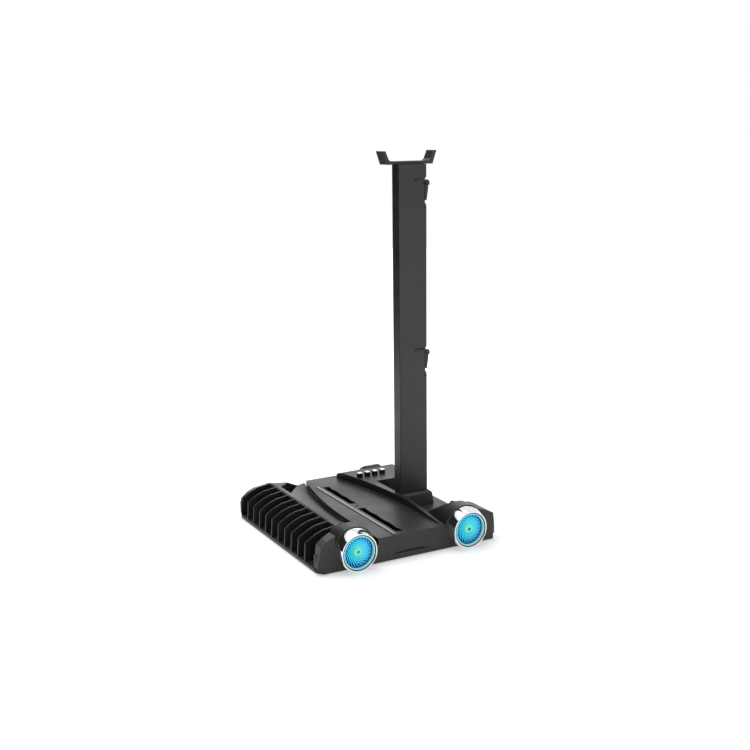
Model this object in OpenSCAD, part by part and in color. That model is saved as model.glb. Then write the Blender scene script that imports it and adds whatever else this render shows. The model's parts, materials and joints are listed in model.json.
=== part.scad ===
// Console charging stand: a low fan base with a game rack, a console platform,
// a rear control terrace and a tall post that carries a headset hanger and two hooks.
// X runs along the front, Y to the back, Z up; the origin is the base's bottom centre.

/* [Base] */
// Width of the base over its two sides
base_w = 217; // [212:1:228]
// Depth of the base without the fan nozzles
base_d = 220; // [216:1:230]
// Wall thickness of the moulded covers
wall = 2.4; // [2:0.1:2.8]
// Height of the low deck beside the platform
deck_h = 20.5; // [19.5:0.5:22]
// Height of the seam between the two covers
seam_h = 7; // [6:0.5:8]
// Thickness of the bottom cover's floor
floor_t = 2.6; // [2.4:0.1:3]
// How far the bottom cover is set back under the top cover
under_in = 0.8; // [0.6:0.1:1.6]
// Depth of the slope along the back edge
rear_run = 15; // [13:1:17]
// Height of the back edge
rear_h = 30; // [29:0.5:31]
// Radius of the upright corners
corner_r = 3; // [2:0.5:4]

/* [Rubber pads] */
// How far the pads stand out under the base
pad_out = 0.8; // [0.6:0.1:1.4]
// Radius of a pad
pad_r = 6; // [5:0.5:8]
// Depth of the pocket that a pad sits in
pad_in = 1; // [0.6:0.1:1.2]

/* [Platform] */
// Width of the console platform at the front
plat_w = 78; // [74:1:82]
// Width of the console platform at the back
plat_back_w = 35; // [30:1:42]
// Length of the straight front part of its sides
plat_straight = 65; // [50:1:75]
// Height of the platform
plat_h = 28; // [26:0.5:28.5]
// Height of the arch under the front face
arch_h = 10; // [9:0.5:11]
// Width of the arch under the front face
arch_w = 84; // [76:1:86]

/* [Air vents] */
// Width of the air slots
slot_w = 7.6; // [6:0.2:9]
// Left edge of the air slots, from the middle of the base
slot_left = 12; // [9:0.5:14]
// Distance from the back edge to the rear air slot
slot_start = 34; // [30:1:38]
// Length of the rear air slot
slot_rear_len = 71; // [60:1:73]
// Width of the bridge between the air slots
slot_bridge = 18; // [15:1:20]
// Length of the front air slot
slot_front_len = 87; // [75:1:88]
// Depth of the waves along the right edge of the slots
wave = 1.1; // [0.5:0.1:1.5]
// Width of the guide strip beside the slots
strip_w = 3; // [2:0.2:4]
// How far the guide strip stands over the platform
strip_rise = 0.8; // [0.4:0.1:1.2]

/* [Rear terrace] */
// Height of the terrace and of the console lip
terrace_h = 36; // [34.5:0.5:37]
// Depth of the terrace behind the post
terrace_d = 67; // [62:1:72]
// Width of the sloping right shoulder
shoulder_w = 17; // [14:1:20]
// Width of the port housing on the back edge
port_w = 24; // [20:1:28]
// Centre of the port housing, from the middle of the base
port_x = 67.5; // [64:0.5:70]
// Height of the port housing over the terrace
port_rise = 1.6; // [1:0.2:3]
// Radius of the nose at the back end of the console lip
nose_r = 10; // [8:0.5:12]
// Width of the cable pocket along the back edge
pocket_w = 14; // [12:1:16]
// Length of the cable pocket, forward from the back edge
pocket_d = 52; // [46:1:56]
// Height of the pocket's floor
pocket_h = 14; // [12:0.5:16]

/* [Game rack] */
// Width of the game rack
rack_w = 38; // [36:1:41]
// Number of ribs between the games
rack_ribs = 10; // [8:1:10]
// Distance from rib to rib: a game case and one rib
rib_pitch = 17; // [16:0.5:17]
// Thickness of a rib
rib_t = 2; // [1.6:0.1:2.4]
// Height of the ribs at the outer side
rib_corner_h = 26.7; // [25:0.5:28]
// Height of the ridge between the rack and the left deck
ridge_h = 37.7; // [36:0.5:38.5]
// Height of the rack's end block at the back edge, on the ridge
block_h = 33; // [32:0.5:35]
// Depth of the end block at the outer side
cap_outer = 11; // [10:0.5:13]
// Depth of the end block at the inner side
cap_inner = 26; // [24:0.5:28]

/* [Fan nozzles] */
// Distance from a nozzle's axis to the side of the base
nozzle_side = 40.8; // [39.8:0.1:41.6]
// Height of the fan axes
nozzle_z = 21.8; // [21.7:0.1:22.4]
// Outer radius of the chrome nozzles
nozzle_r = 20.6; // [20:0.1:20.7]
// How far the nozzles stand out of the front face
nozzle_out = 13; // [12:0.5:15]
// Length of the nozzle's neck inside the base
neck_len = 9; // [7:0.5:11]
// Outer radius of the neck
neck_r = 17.6; // [17.4:0.1:17.8]
// Outer radius of the round housing behind the nozzle
hump_r = 24.4; // [24:0.1:25]
// Wall of the chrome nozzle
nozzle_wall = 1.5; // [1.2:0.1:1.6]
// Depth of the light ring from the nozzle's mouth
light_in = 1; // [0.6:0.1:1.4]
// Thickness of the light ring
light_t = 2.4; // [2:0.1:2.8]
// Inner radius of the light ring
light_r = 16.7; // [16.5:0.1:17]

/* [Fans] */
// Number of fan blades
blades = 24; // [18:1:26]
// Radius of the fan over its rim
fan_r = 16.2; // [15.8:0.1:16.2]
// Width of the fan's rim
rim_w = 1; // [0.8:0.1:1.4]
// Thickness of the fan wheel
fan_t = 5; // [4.4:0.1:5.2]
// Angle that the blades sweep from hub to rim
sweep = 38; // [20:1:45]
// Radius of the fan hub
hub_r = 5.4; // [5:0.1:6]
// Radius of the fan shaft
shaft_r = 1.5; // [1.2:0.1:1.8]
// Running clearance round the fan shaft
shaft_gap = 0.05; // [0.03:0.01:0.08]

/* [Buttons] */
// Number of buttons
buttons = 4; // [4]
// Side of the square buttons
button_w = 5.4; // [5:0.1:5.8]
// Distance from button to button
button_pitch = 10.2; // [9.8:0.1:10.6]
// Centre of the first button, from the middle of the base
button_x = 34.1; // [33:0.1:35]
// Distance of the button row from the back edge
button_back = 42.5; // [40:0.5:46]
// Height of a button over the terrace
button_rise = 5; // [4:0.2:6]
// Travel of a button
button_travel = 1.2; // [0.8:0.1:1.4]
// Thickness of the plated cap on a button
button_cap_t = 0.8; // [0.6:0.1:1]

/* [Post] */
// Width of the post
post_w = 35.5; // [33:0.5:37]
// Depth of the post
post_d = 15; // [14:0.5:17]
// Height of the top of the post
post_top = 407; // [400:1:420]
// Centre of the post, from the middle of the base
post_x = 61; // [60.2:0.1:61.8]
// Distance of the post's middle from the back edge
post_back = 117.5; // [114:0.5:120]
// Wall thickness of the post
post_wall = 3; // [2.9:0.1:3.4]
// Radius of the post's upright edges
post_edge = 1; // [0.5:0.1:1.5]
// Height of the solid foot inside the post
post_plug = 14; // [12:1:18]
// Depth of the collar in front of the post
collar_front = 5.5; // [4.5:0.5:7]
// Width of the collar beside the post
collar_side = 2.8; // [2.6:0.2:3.4]
// Chamfer round the top of the collar
collar_bevel = 2.4; // [1.5:0.1:2.5]

/* [Headset hanger] */
// Width of the hanger over its arms
hanger_w = 68; // [62:1:76]
// Depth of the hanger
hanger_d = 15; // [14:0.5:17]
// Height of the arms over the top of the post
hanger_rise = 14.5; // [13:0.5:18]
// Thickness of the bar and the arms
hanger_t = 3.4; // [3:0.1:4]
// How far the arms lean outwards
hanger_lean = 5; // [4:0.5:6]
// Radius of the bends between bar and arms
hanger_bend = 5; // [4:0.5:6]
// How far the hanger sits behind the middle of the post
hanger_back = 6; // [0:0.5:7]

/* [Hooks] */
// Height of the top of the upper notch
hook_upper = 394.5; // [380:0.5:396]
// Height of the top of the lower notch
hook_lower = 206; // [190:0.5:220]
// Height of a notch
notch_h = 33; // [31:0.5:36]
// Depth of a notch in the side of the post
notch_in = 2.4; // [2:0.1:2.6]
// Length of the ledge on the front of the post
ledge_len = 15; // [13:0.5:18]
// How far the ledge stands out of the front of the post
ledge_out = 3; // [2.4:0.2:5]
// Thickness of the ledge
ledge_t = 2; // [1.6:0.1:2.4]
// Length of the tongue that hangs in the notch
tongue_len = 22; // [20:0.5:24]
// How far the tongue stands out of the side of the post
tongue_out = 1.8; // [1.4:0.2:3]
// Width of the tongue, front to back
tongue_w = 9; // [7:0.5:11]
// Radius of the bend between ledge and tongue
hook_bend = 3; // [2:0.2:3.4]

/* [Screws] */
// Radius of the screw holes in the bosses
screw_r = 1.4; // [1.3:0.1:1.6]
// Radius of a screw head
head_r = 2.7; // [2.4:0.1:3]
// Height of a screw head
head_h = 1.4; // [1.2:0.1:1.5]
// Length of a screw under its head
screw_len = 9; // [8:0.5:10]
// Outer radius of a screw boss
boss_r = 3.6; // [3.2:0.1:4]

/* [Hidden] */
$fn = 64;

// Clearances: between moving pieces, and between seated pieces
gap = 0.3;
seat = 0.1;
// Longer than any piece, for cuts that run right through
big = 600;

// Edges of the base
x_side = base_w / 2;
y_back = (base_d + nozzle_out) / 2;
y_front = y_back - base_d;
y_ring = y_front - nozzle_out;
floor_top = pad_out + floor_t;
back_clip = [17, 11];
front_clip = [6, 8];
front_clip_right = [1.5, 2];
side_h = 13;
side_run = 13;

// Platform sides: straight at the front, then one large arc
plat_turn = y_front + plat_straight;
plat_run = base_d - plat_straight;
plat_sag = (plat_w - plat_back_w) / 2;
plat_r = (plat_run * plat_run + plat_sag * plat_sag) / (2 * plat_sag);
plat_steps = 12;
arch_r = (arch_w * arch_w / 4 + arch_h * arch_h) / (2 * arch_h);

// Terrace, post and rack places
y_terrace = y_back - terrace_d;
y_ledge = y_back - rear_run;
post_y = y_back - post_back;
post_left = post_x - post_w / 2;
post_right = post_x + post_w / 2;
post_front = post_y - post_d / 2;
nozzle_x = x_side - nozzle_side;
rack_in = rack_w - x_side;
slope_w = 52;
pocket_x = -plat_back_w / 2 - 11.5;
block_fall = (ridge_h - block_h) / rear_run;
wing_h = 32;
wing_top = 44;

// Nozzle radii and depths, measured from the mouth
barrel_in = nozzle_r - nozzle_wall;
step_in = 11.5;
neck_in = neck_r - nozzle_wall;
led_t = 1.2;
led_y = light_in + light_t;
fan_y = light_in + light_t + 0.6;
frame_t = 2.6;
cup_r = 6.5;
shaft_len = 6.5;
tube_r = neck_r + seat + wall;
tube_more = 6;

// Button flange, and the switches and board under it
button_foot = 1.2;
button_lip = 1.2;
peg_r = 1.6;
switch_h = 3.5;
board_t = 1.6;
switch_top = terrace_h - wall - gap - button_foot - button_travel - gap;
board_top = switch_top - switch_h;

// Power inlet in the back wall: its place, and its width, depth and height
inlet_x = 4;
inlet_size = [9.4, 8, 3.6];

// Screw places: the covers, the rack and the post
screw_x = [10.5, 8, 18, 13];
screw_y = [70, 40, 16, 45, 62];
cover_screws = [
    [rack_in + screw_x[0], y_back - screw_y[0]], [rack_in + screw_x[0], y_front + screw_y[1]],
    [plat_back_w / 2 + screw_x[1], y_back - screw_y[2]], [x_side - screw_x[2], y_back - screw_y[3]],
    [plat_w / 2 - screw_x[3], y_front + screw_y[2]], [x_side - screw_x[2], y_front + screw_y[4]]
];
post_screw_x = 10;
pad_side = 17;
pad_front = 34;
pad_rear = 24;
pad_spots = [x_side - pad_side, y_front + pad_front, y_back - pad_rear];
main_board_size = [52, 44];
main_board_back = 104;
board_peg_h = 3;
chip_size = [14, 12, 2.4];
chip_back = 90;
chip_left = 8;

// Half the width of the platform at the depth y
function plat_half(y) = y < plat_turn ? plat_w / 2
    : plat_w / 2 - plat_r + sqrt(plat_r * plat_r - (y - plat_turn) * (y - plat_turn));
// Depth of one step along the curved side of the platform
function plat_y(i) = plat_turn + plat_run * i / plat_steps;
// Points on an arc about the origin
function arc(r, a0, a1, n) = [for (i = [0 : n]) r * [cos(a0 + (a1 - a0) * i / n), sin(a0 + (a1 - a0) * i / n)]];
// Points moved by a fixed distance
function moved(points, by) = [for (p = points) p + by];

// Extrudes a profile drawn in X and Z along Y, from y0 to y1
module along_y(y0, y1) {
    translate([0, y1, 0])
        rotate([90, 0, 0])
            linear_extrude(y1 - y0)
                children();
}

// Extrudes a profile drawn in Y and Z along X, from x0 to x1
module along_x(x0, x1) {
    translate([x0, 0, 0])
        rotate([90, 0, 90])
            linear_extrude(x1 - x0)
                children();
}

// Extrudes a plan from z0 to z1
module upright(z0, z1) {
    translate([0, 0, z0])
        linear_extrude(z1 - z0)
            children();
}

// Cylinder along Y on a fan axis, at a depth from the nozzle's mouth
module on_fan_axis(r, from, to) {
    translate([nozzle_x, y_ring + to, nozzle_z])
        rotate([90, 0, 0])
            cylinder(r = r, h = to - from);
}

// A piece and its mirror image on the other side of the base
module on_side(side) {
    mirror([side < 0 ? 1 : 0, 0, 0])
        children();
}

// Plan of the base with clipped corners
module base_plan(inset = 0) {
    offset(r = corner_r)
        offset(delta = -corner_r - inset)
            polygon([
                [-x_side, y_front + front_clip.y], [-x_side + front_clip.x, y_front],
                [x_side - front_clip_right.x, y_front], [x_side, y_front + front_clip_right.y],
                [x_side, y_back - back_clip.y], [x_side - back_clip.x, y_back],
                [-x_side + back_clip.x, y_back], [-x_side, y_back - back_clip.y]
            ]);
}

// Plan of the console platform
module platform_plan(inset = 0) {
    offset(delta = -inset)
        polygon(concat(
            [[-plat_w / 2, y_front], [plat_w / 2, y_front]],
            [for (i = [0 : plat_steps]) [plat_half(plat_y(i)), plat_y(i)]],
            [for (i = [plat_steps : -1 : 0]) [-plat_half(plat_y(i)), plat_y(i)]]
        ));
}

// Plan of the terrace and of the strip that runs forward beside the console lip
module terrace_plan(inset = 0) {
    offset(delta = -inset)
        intersection() {
            base_plan();
            difference() {
                translate([0, y_front])
                    square([x_side, base_d]);
                platform_plan();
                translate([post_left, y_front])
                    square([x_side, y_terrace - y_front]);
                nose_corner();
            }
        }
}

// Corner that rounds off the nose of the terrace
module nose_corner() {
    x = plat_half(y_back - nose_r);
    difference() {
        translate([0, y_back - nose_r])
            square([x + nose_r, nose_r + 1]);
        translate([x + nose_r, y_back - nose_r])
            circle(r = nose_r);
    }
}

// Plan of the ledge beside the nose of the terrace
module ledge_plan(inset = 0) {
    offset(delta = -inset)
        intersection() {
            base_plan();
            translate([0, y_ledge - 2 * wall - 2])
                square([x_side - side_run, rear_run + 2 * wall + 2]);
        }
}

// Profile of the left deck: from the ridge down to the platform
module slope_profile(inset = 0) {
    offset(delta = -inset)
        polygon([
            [rack_in, -wall], [rack_in, ridge_h], [rack_in + slope_w, deck_h], [rack_in + slope_w, -wall]
        ]);
}

// Profile shared by the ribs and by the block behind them
module rack_profile(inset = 0) {
    bend = 3;
    offset(delta = -inset)
        polygon(concat(
            [[rack_in, -wall], [-x_side, -wall]],
            moved(arc(bend, 175, 115, 5), [-x_side + bend + 1.5, rib_corner_h - bend]),
            [[-x_side + 12, rib_corner_h + 5], [-x_side + 22, rib_corner_h + 8.8], [rack_in, ridge_h]]
        ));
}

// Front view of a right wing, outside the round housing
module wing_profile(inset = 0) {
    offset(delta = -inset)
        polygon([
            [nozzle_x, -wall], [nozzle_x, wing_top], [nozzle_x + 8, wing_top - 3], [nozzle_x + 15, ridge_h + 1],
            [x_side - 11, ridge_h - 3], [x_side - 3, wing_h - 1], [x_side, side_h - 3], [x_side, -wall]
        ]);
}

// Side view of a wing: rising from the front face, then falling to the deck
module wing_side(inset = 0) {
    offset(delta = -inset)
        polygon([
            [y_front, -wall], [y_front, wing_h - 1], [y_front + 6, ridge_h], [y_front + 14, wing_top],
            [y_front + cap_inner, wing_top], [y_front + cap_inner + 26, deck_h], [y_front + cap_inner + 26, -wall]
        ]);
}

// Side view of the round housing, which fairs back into the deck
module hump_side(inset = 0) {
    offset(delta = -inset)
        polygon([
            [y_front, -wall], [y_front, wing_top + 4], [y_front + 13, wing_top + 4],
            [y_front + 56, deck_h], [y_front + 56, -wall]
        ]);
}

// Both bodies of a right wing: the clipped outer block and the round housing
module wing(inset = 0) {
    intersection() {
        along_y(y_front, y_back)
            wing_profile(inset);
        along_x(0, x_side)
            wing_side(inset);
        linear_extrude(big)
            base_plan(inset);
    }
    intersection() {
        translate([nozzle_x, y_front + 57, nozzle_z])
            rotate([90, 0, 0])
                cylinder(r = hump_r - inset, h = 57);
        along_x(0, x_side)
            hump_side(inset);
    }
}

// All outer forms of the top cover, drawn smaller by inset for the hollow
module cover_forms(inset = 0) {
    difference() {
        linear_extrude(deck_h - inset)
            base_plan(inset);
        along_y(y_front, y_back)
            side_cut(inset);
    }
    linear_extrude(plat_h - inset)
        platform_plan(inset);
    linear_extrude(plat_h - inset)
        ledge_plan(inset);
    difference() {
        linear_extrude(terrace_h - inset)
            terrace_plan(inset);
        along_y(y_front, y_back)
            shoulder_cut(inset);
    }
    intersection() {
        along_y(y_front + cap_inner - wall, y_back - inset)
            slope_profile(inset);
        linear_extrude(big)
            base_plan(inset);
    }
    intersection() {
        multmatrix([[1, 0, 0, 0], [0, 1, 0, 0], [0, -block_fall, 1, block_fall * y_ledge - 2 * seat]])
            along_y(y_ledge + inset, y_back - inset)
                rack_profile(inset);
        linear_extrude(big)
            base_plan(inset);
    }
    for (side = [-1, 1])
        on_side(side)
            wing(inset);
}

// Cut that slopes the right edge of the low deck
module side_cut(inset = 0) {
    polygon([
        [x_side - side_run - inset / 2, deck_h + 1], [x_side - side_run - inset / 2, deck_h - inset / 2],
        [x_side, side_h - inset], [x_side + 1, side_h - inset], [x_side + 1, deck_h + 1]
    ]);
}

// Cut that slopes the right shoulder of the terrace
module shoulder_cut(inset = 0) {
    polygon([
        [x_side - shoulder_w, terrace_h + 1], [x_side - shoulder_w, terrace_h - 1 - inset],
        [x_side - 8, terrace_h - 4 - inset], [x_side + 1, deck_h - inset], [x_side + 1, terrace_h + 1]
    ]);
}

// Slopes along the back: in line with the rack's end block, and behind the terrace
module rear_cut(inset = 0) {
    along_x(-big / 2, -plat_back_w / 2)
        polygon([
            [y_ledge, big], [y_ledge, ridge_h + seat - inset],
            [y_back + 1, block_h - block_fall + seat - inset], [y_back + 1, big]
        ]);
    along_x(0, big)
        polygon([
            [y_ledge - 1 - inset / 2, big], [y_ledge - 1 - inset / 2, terrace_h - inset],
            [y_back + 1, rear_h - inset], [y_back + 1, big]
        ]);
}

// Space that the game rack fills, open to the left
module rack_bay(grow = 0) {
    upright(-1, big)
        polygon([
            [-big, y_ledge + grow], [rack_in + grow, y_ledge + grow],
            [rack_in + grow, y_front + cap_inner - grow], [-x_side, y_front + cap_outer - grow],
            [-big, y_front + cap_outer - grow]
        ]);
}

// Plan of the cable pocket: from the ridge, slanting to the back edge
module pocket_plan(grow = 0) {
    offset(delta = grow)
        polygon([
            [rack_in + 9, y_back - pocket_d], [rack_in + 8, y_back - pocket_d / 2],
            [pocket_x - pocket_w, y_back + 1], [pocket_x, y_back + 1]
        ]);
}

// One air slot with a straight left edge and a waved right edge
module slot_plan(y1, length) {
    waves = 3;
    steps = 18;
    polygon(concat(
        [[-slot_left, y1], [-slot_left, y1 - length]],
        [for (i = [0 : steps])
            let (t = i / steps)
            [-slot_left + slot_w - wave * (1 - cos(360 * waves * t)) / 2, y1 - length * (1 - t) - 2]]
    ));
}

// Both air slots and the small lock hole in the bridge between them
module slots_plan() {
    slot_plan(y_back - slot_start, slot_rear_len);
    slot_plan(y_back - slot_start - slot_rear_len - slot_bridge, slot_front_len);
    translate([-slot_left + slot_w / 2, y_back - slot_start - slot_rear_len - slot_bridge / 2 - 1])
        square([4, 3], center = true);
}

// Plan of the guide strip beside the slots
module strip_plan(grow = 0) {
    translate([-slot_left - 4 - strip_w - grow, y_front + 3 - grow])
        square([strip_w + 2 * grow, base_d - slot_start + 2 * grow]);
}

// Places its child at one button
module at_button(i) {
    translate([button_x + i * button_pitch, y_back - button_back, 0])
        children();
}

// Upper shell of the base, with its bosses and the two fan tubes
module top_cover() {
    color("#2b2c2e")
        difference() {
            union() {
                difference() {
                    cover_shell();
                    upright(-wall - 1, seam_h)
                        square(big, center = true);
                }
                cover_inside();
            }
            cover_cuts();
        }
}

// Moulded shell: the outer forms less the same forms drawn smaller
module cover_shell() {
    difference() {
        cover_forms();
        rear_cut();
        rack_bay();
        difference() {
            cover_forms(wall);
            rear_cut(wall);
            rack_bay(wall);
            upright(pocket_h - wall, big)
                pocket_plan(wall);
        }
        upright(pocket_h, big)
            pocket_plan();
        intersection() {
            along_y(y_front - 1, y_front + wall + 1)
                translate([0, arch_h - arch_r])
                    circle(r = arch_r, $fn = 128);
            upright(0, arch_h)
                square([arch_w, big], center = true);
        }
    }
}

// Bosses and fan tubes inside the shell
module cover_inside() {
    difference() {
        intersection() {
            union() {
                for (p = cover_screws)
                    translate([p.x, p.y, floor_top])
                        cylinder(r = boss_r, h = big);
                for (side = [-1, 1])
                    on_side(side)
                        on_fan_axis(tube_r, nozzle_out, nozzle_out + neck_len + tube_more);
                for (i = [0 : buttons - 2])
                    at_button(i + 0.5)
                        upright(board_top, terrace_h)
                            circle(r = peg_r);
            }
            difference() {
                cover_forms(wall / 2);
                rear_cut(wall / 2);
                rack_bay(wall / 2);
            }
            upright(pad_out + seat, big)
                square(big, center = true);
        }
    }
}

// Holes of the cover: fans, slots, buttons, post, ports, cable pocket and screws
module cover_cuts() {
    for (side = [-1, 1])
        on_side(side)
            on_fan_axis(neck_r + seat, nozzle_out - 1, nozzle_out + neck_len + tube_more + 1);
    upright(plat_h - wall - 1, big)
        slots_plan();
    upright(plat_h - strip_rise, big)
        strip_plan(seat);
    for (i = [0 : buttons - 1])
        at_button(i)
            upright(deck_h, big)
                square(button_w + 2 * gap, center = true);
    translate([post_x, post_y, 0])
        upright(0, deck_h + 1)
            square([post_w + 2 * seat, post_d + 2 * seat], center = true);
    port_space(seat);
    inlet_space(seat);
    for (p = cover_screws)
        translate([p.x, p.y, 0])
            cylinder(r = screw_r, h = floor_top + screw_len);
}

// Space of the port housing in the back edge
module port_space(grow = 0) {
    translate([port_x, y_back - rear_run / 2, 0])
        upright(deck_h - grow, big)
            square([port_w + 2 * grow, rear_run + 2 * grow + 2], center = true);
}

// Space of the power inlet in the back wall
module inlet_space(grow = 0) {
    translate([inlet_x, 0, floor_top + 4])
        along_y(y_back - inlet_size.y, y_back + 1)
            square([inlet_size.x + 2 * grow, inlet_size.z + 2 * grow], center = true);
}

// Lower shell: floor, set-back wall and the rim inside the top cover
module bottom_cover() {
    rim_t = 1.6;
    rim_h = 5;
    color("#1d1d1f")
        difference() {
            union() {
                upright(pad_out, floor_top)
                    base_plan(under_in);
                difference() {
                    upright(floor_top, seam_h)
                        base_plan(under_in);
                    upright(floor_top - 1, seam_h + 1)
                        base_plan(under_in + wall);
                    rack_bay(wall);
                }
                difference() {
                    upright(floor_top, seam_h + rim_h)
                        base_plan(wall + gap);
                    upright(floor_top - 1, seam_h + rim_h + 1)
                        base_plan(wall + gap + rim_t);
                    rack_bay(wall + gap);
                }
            }
            for (side = [-1, 1])
                on_side(side)
                    on_fan_axis(tube_r + gap, nozzle_out - 1, nozzle_out + neck_len + tube_more + 1);
            inlet_space(gap);
            upright(pocket_h - wall - gap, big)
                pocket_plan(wall + gap);
            for (p = concat(cover_screws, post_screw_spots))
                screw_hole(p);
            for (p = pad_places)
                translate([p.x, p.y, 0])
                    cylinder(r = pad_r + seat, h = pad_out + pad_in);
        }
}

post_screw_spots = [for (s = [-1, 1]) [post_x + s * post_screw_x, post_y]];
pad_places = [for (sx = [-1, 1], y = [pad_spots[1], pad_spots[2]]) [sx * pad_spots[0], y]];

// Clearance hole and head pocket of one screw in the bottom cover
module screw_hole(p) {
    translate([p.x, p.y, 0])
        cylinder(r = screw_r + 0.2, h = floor_top + 1);
    translate([p.x, p.y, 0])
        cylinder(r = head_r + 0.2, h = pad_out + head_h + seat);
}

// One screw with its head in the floor of the bottom cover
module screw(p) {
    slot_d = 0.7;
    translate([p.x, p.y, pad_out + seat])
        difference() {
            union() {
                cylinder(r = head_r, h = head_h);
                cylinder(r = screw_r - seat, h = screw_len);
            }
            for (a = [0, 90])
                rotate(a)
                    translate([-head_r * 0.6, -0.3, -1])
                        cube([head_r * 1.2, 0.6, 1 + slot_d]);
        }
}

// Insert with the ribs that hold the games
module game_rack() {
    skin = 1.6;
    color("#17171a")
        difference() {
            union() {
                intersection() {
                    difference() {
                        rack_bay(-seat);
                        upright(skin + floor_top, big)
                            translate([-x_side - 1, -big / 2])
                                square([rack_w + 1 - skin - seat, big]);
                    }
                    along_y(y_front, y_back)
                        difference() {
                            rack_profile();
                            translate([-big / 2, -big])
                                square([big, big + floor_top]);
                        }
                }
                intersection() {
                    for (k = [1 : rack_ribs])
                        along_y(y_ledge - k * rib_pitch - rib_t / 2, y_ledge - k * rib_pitch + rib_t / 2)
                            difference() {
                                rack_profile();
                                translate([-big / 2, -big])
                                    square([big, big + floor_top]);
                            }
                    rack_bay(-seat);
                }
            }
        }
}

// Strip that the side of the console leans on
module guide_strip() {
    color("#77797c")
        upright(plat_h - strip_rise, plat_h + strip_rise)
            strip_plan();
}

// Rubber pad in its pocket under the base
module pad(k) {
    color("#101012")
        translate([pad_places[k].x, pad_places[k].y, 0]) {
            cylinder(r1 = pad_r - 0.4, r2 = pad_r, h = 0.4);
            translate([0, 0, 0.4])
                cylinder(r = pad_r, h = pad_out + pad_in - 0.4);
        }
}

// Rectangle with rounded corners about the origin
module rounded(w, d, r) {
    offset(r = r)
        square([w - 2 * r, d - 2 * r], center = true);
}

// Hollow post with a solid foot and two notches for the hooks
module post() {
    color("#2a2b2d")
        difference() {
            translate([post_x, post_y, 0])
                difference() {
                    upright(floor_top, post_top)
                        rounded(post_w, post_d, post_edge);
                    upright(floor_top + post_plug, post_top + 1)
                        square([post_w - 2 * post_wall, post_d - 2 * post_wall], center = true);
                }
            for (z = [hook_upper, hook_lower])
                translate([post_right, 0, z])
                    along_y(post_front - 1, post_y + post_d)
                        polygon([[1, 1], [0, 0], [-notch_in, -3.6], [-notch_in, -notch_h + 4.4], [0, -notch_h], [1, -notch_h]]);
            for (z = [hook_upper, hook_lower])
                translate([post_right - 3.4, post_front + 1.5, z - notch_h - 1.6])
                    rotate([90, 0, 0])
                        cylinder(r = 0.8, h = 3, $fn = 24);
            for (p = post_screw_spots)
                translate([p.x, p.y, 0])
                    cylinder(r = screw_r, h = floor_top + screw_len);
        }
}

// Collar that stands on the low deck round the front and right of the post
module post_collar() {
    flare = 1.4;
    h = terrace_h - deck_h;
    color("#242527")
        difference() {
            hull() {
                upright(deck_h, deck_h + 1)
                    collar_plan(flare);
                upright(deck_h, terrace_h - collar_bevel)
                    collar_plan(0);
                upright(deck_h, terrace_h)
                    collar_plan(-collar_bevel);
            }
            translate([post_x, post_y, 0])
                upright(0, big)
                    square([post_w + 2 * seat, post_d + 2 * seat], center = true);
        }
}

// Plan of the collar, grown at its front and right
module collar_plan(grow = 0) {
    back = 2.5;
    translate([post_left + gap, post_front - collar_front - grow])
        square([post_w - gap + collar_side + grow, collar_front + post_d + back + grow]);
}

// U-shaped hanger with leaning arms and a plug that fits the post
module headset_hanger() {
    color("#202123")
        difference() {
            union() {
                translate([post_x, 0, 0])
                    along_y(post_y + hanger_back - hanger_d / 2, post_y + hanger_back + hanger_d / 2)
                        hanger_profile();
                intersection() {
                    translate([post_x, post_y, 0])
                        upright(post_top - 10, post_top + 1)
                            square([post_w - 2 * post_wall - 2 * seat, post_d - 2 * post_wall - 2 * seat], center = true);
                    translate([0, post_y + hanger_back, 0])
                        upright(0, big)
                            square([big, hanger_d], center = true);
                }
            }
            // Grooves for grip on the inner faces of the arms
            for (side = [-1, 1], k = [-2 : 2])
                translate([post_x + side * (hanger_w / 2 - hanger_t), post_y + hanger_back + k * 2.6, post_top + hanger_rise])
                    rotate([0, side * atan(hanger_lean / (hanger_rise - hanger_t)), 0])
                        translate([0, 0, -4])
                            cube([1, 0.9, 12], center = true);
        }
}

// Front view of the hanger about the middle of the post
module hanger_profile() {
    inner = hanger_w / 2 - hanger_t - hanger_lean;
    offset(r = 0.6)
        offset(r = -hanger_bend - 0.6)
            offset(r = hanger_bend)
                difference() {
                    polygon([
                        [-hanger_w / 2, post_top + hanger_rise], [-inner - hanger_t, post_top],
                        [inner + hanger_t, post_top], [hanger_w / 2, post_top + hanger_rise]
                    ]);
                    polygon([
                        [-hanger_w / 2 + hanger_t, post_top + hanger_rise + 1], [-inner, post_top + hanger_t],
                        [inner, post_top + hanger_t], [hanger_w / 2 - hanger_t, post_top + hanger_rise + 1]
                    ]);
                }
}

// Hook: a pointed ledge across the corner of the post that bends down into a tapering tongue
module hook(z) {
    top = -4;
    color("#1b1c1e")
        translate([post_right, post_front, z]) {
            upright(top - ledge_t, top)
                polygon([
                    [-ledge_len, -0.8], [-ledge_len + 3, -ledge_out + 0.6], [tongue_out - hook_bend, -ledge_out],
                    [tongue_out - hook_bend, tongue_w], [-notch_in, tongue_w], [-notch_in, 0], [-ledge_len, 0]
                ]);
            along_y(-0.6, tongue_w)
                polygon(concat(
                    moved(arc(hook_bend, 90, 0, 6), [tongue_out - hook_bend, top - hook_bend]),
                    [
                        [tongue_out - 0.3, top - 10], [-notch_in + 2, top - tongue_len],
                        [-notch_in + 1, top - tongue_len - 0.8], [-notch_in, top - tongue_len],
                        [-notch_in, top - ledge_t], [-notch_in, top]
                    ]
                ));
            along_y(-ledge_out, 0)
                polygon(concat(
                    moved(arc(hook_bend, 90, 0, 6), [tongue_out - hook_bend, top - hook_bend]),
                    [[tongue_out, top - 6], [tongue_out - 1.6, top - 6], [-hook_bend, top - ledge_t - 0.8], [-hook_bend, top]]
                ));
        }
}

module upper_hook() {
    hook(hook_upper);
}

module lower_hook() {
    hook(hook_lower);
}

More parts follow.
